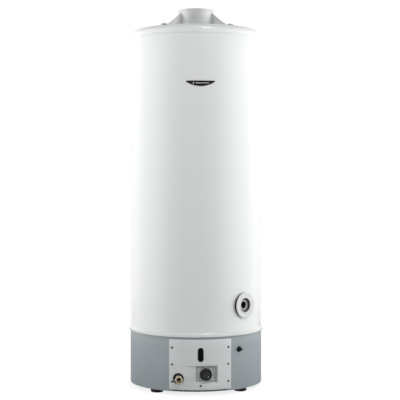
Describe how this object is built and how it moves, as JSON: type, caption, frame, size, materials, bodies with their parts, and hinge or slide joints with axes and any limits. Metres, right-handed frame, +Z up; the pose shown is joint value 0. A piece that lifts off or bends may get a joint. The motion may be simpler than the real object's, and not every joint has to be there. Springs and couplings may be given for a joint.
{
  "type": "gas tank water heater",
  "caption": "Floor-standing gas storage water heater: white cylinder on a grey base with access panel, gas control, igniter, water ports and draft hood.",
  "frame": {"origin": "floor under the jacket's vertical axis", "axes": "+Z up; the access panel faces -Y; +X to the right seen from the front"},
  "size_m": [0.51, 0.5356, 1.423],
  "materials": {
    "white_enamel": "gloss",
    "grey_enamel": "satin",
    "panel_sheet": "satin",
    "rubber": "matte",
    "screw_steel": "satin",
    "black_plastic": "gloss",
    "dark_glass": "polished",
    "cast_alloy": "satin",
    "grey_plastic": "satin",
    "galvanised": "satin",
    "brass": "gloss",
    "white_plastic": "gloss",
    "tank_steel": "matte",
    "insulation_foam": "matte",
    "cast_iron": "matte",
    "copper": "satin",
    "magnesium": "matte"
  },
  "bodies": {
    "root": {"jacket": "white_enamel", "top_cover": "white_enamel", "base_skirt": "grey_enamel", "front_panel": "panel_sheet", "foot_1": "rubber", "foot_2": "rubber", "foot_3": "rubber", "foot_4": "rubber", "gas_inlet_grommet": "rubber", "cold_port_gasket": "rubber", "hot_port_gasket": "rubber", "hood_spacer_1": "rubber", "hood_spacer_2": "rubber", "hood_spacer_3": "rubber", "panel_screw_1": "screw_steel", "panel_screw_2": "screw_steel", "panel_screw_3": "screw_steel", "panel_screw_4": "screw_steel", "panel_screw_5": "screw_steel", "panel_screw_6": "screw_steel", "panel_screw_7": "screw_steel", "hood_screw_1": "screw_steel", "hood_screw_2": "screw_steel", "hood_screw_3": "screw_steel", "knob_spring": "screw_steel", "igniter_spring": "screw_steel", "sight_frame": "black_plastic", "igniter_housing": "black_plastic", "badge_plate": "black_plastic", "ignition_lead": "black_plastic", "sight_glass": "dark_glass", "gas_control_body": "cast_alloy", "gas_control_faceplate": "grey_plastic", "gas_inlet_pipe": "galvanised", "igniter_nut": "galvanised", "cold_port_socket": "galvanised", "hot_port_socket": "galvanised", "flue_baffle": "galvanised", "hood_collar": "galvanised", "hood_leg_1": "galvanised", "hood_leg_2": "galvanised", "hood_leg_3": "galvanised", "pilot_burner": "galvanised", "gas_union_nut": "brass", "burner_supply_pipe": "brass", "cold_port_ring": "white_plastic", "hot_port_ring": "white_plastic", "base_pan": "tank_steel", "inner_tank": "tank_steel", "flue_tube": "tank_steel", "combustion_chamber": "tank_steel", "insulation_sleeve": "insulation_foam", "insulation_cap": "insulation_foam", "burner": "cast_iron", "thermocouple": "copper", "thermostat_probe": "copper", "anode_rod": "magnesium"},
    "spindle": {"control_spindle": "screw_steel"},
    "knob": {"temperature_knob": "black_plastic"},
    "button": {"igniter_button": "black_plastic"}
  },
  "joints": [
    {"name": "knob_push", "type": "slide", "parent": "root", "child": "spindle", "axis": [-0.0872, 0.9962, 0], "range_m": [0, 0.005], "stiffness_N_per_m": 900, "springref_m": -0.006, "deforming": ["knob_spring"]},
    {"name": "knob_turn", "type": "hinge", "parent": "spindle", "child": "knob", "pos_m": [0.0188, -0.24931, 0.07825], "axis": [0.0872, -0.9962, 0], "range_deg": [0, 285]},
    {"name": "igniter_push", "type": "slide", "parent": "root", "child": "button", "axis": [-0.5736, 0.8192, 0], "range_m": [0, 0.007], "stiffness_N_per_m": 700, "springref_m": -0.004, "deforming": ["igniter_spring"]}
  ]
}
